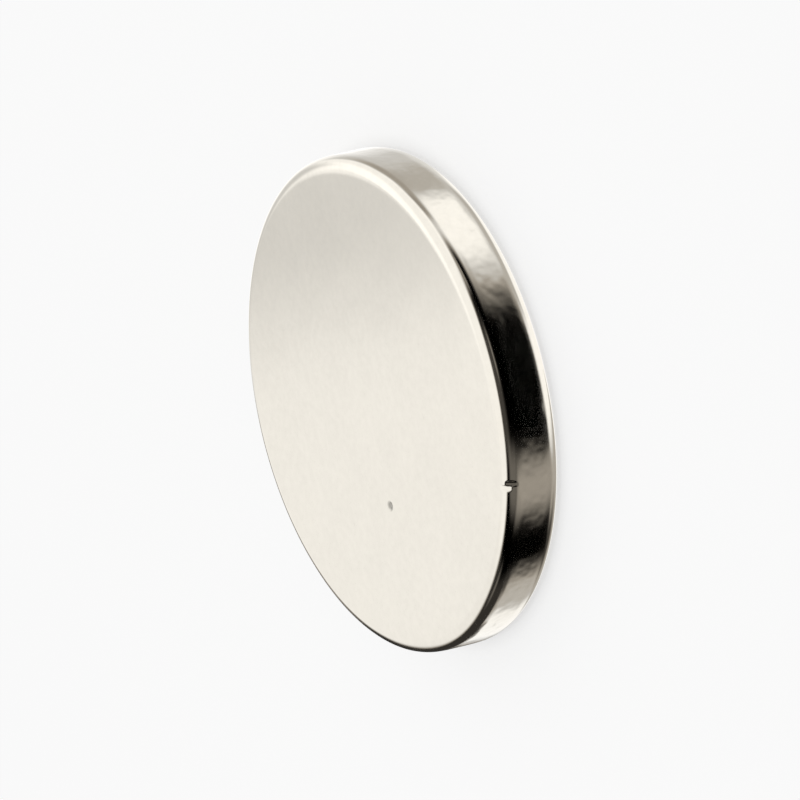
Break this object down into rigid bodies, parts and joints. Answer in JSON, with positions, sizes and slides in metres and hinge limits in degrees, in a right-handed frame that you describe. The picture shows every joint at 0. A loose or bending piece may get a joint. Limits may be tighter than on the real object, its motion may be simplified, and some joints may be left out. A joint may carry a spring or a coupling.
{
  "type": "disc magnet",
  "caption": "Thin round disc magnet of plated metal with flat pole faces, a straight wall and rounded edges.",
  "frame": {"origin": "centre of the pole face that the disc rests on", "axes": "+Z along the disc's axis, from the pole face that it rests on to the free pole face; X and Y are in the pole face"},
  "size_m": [0.008, 0.008, 0.001],
  "materials": {
    "nickel_plate": "bright nickel plating with a slightly satin surface"
  },
  "bodies": {
    "root": {"disc": "nickel_plate"}
  },
  "joints": []
}
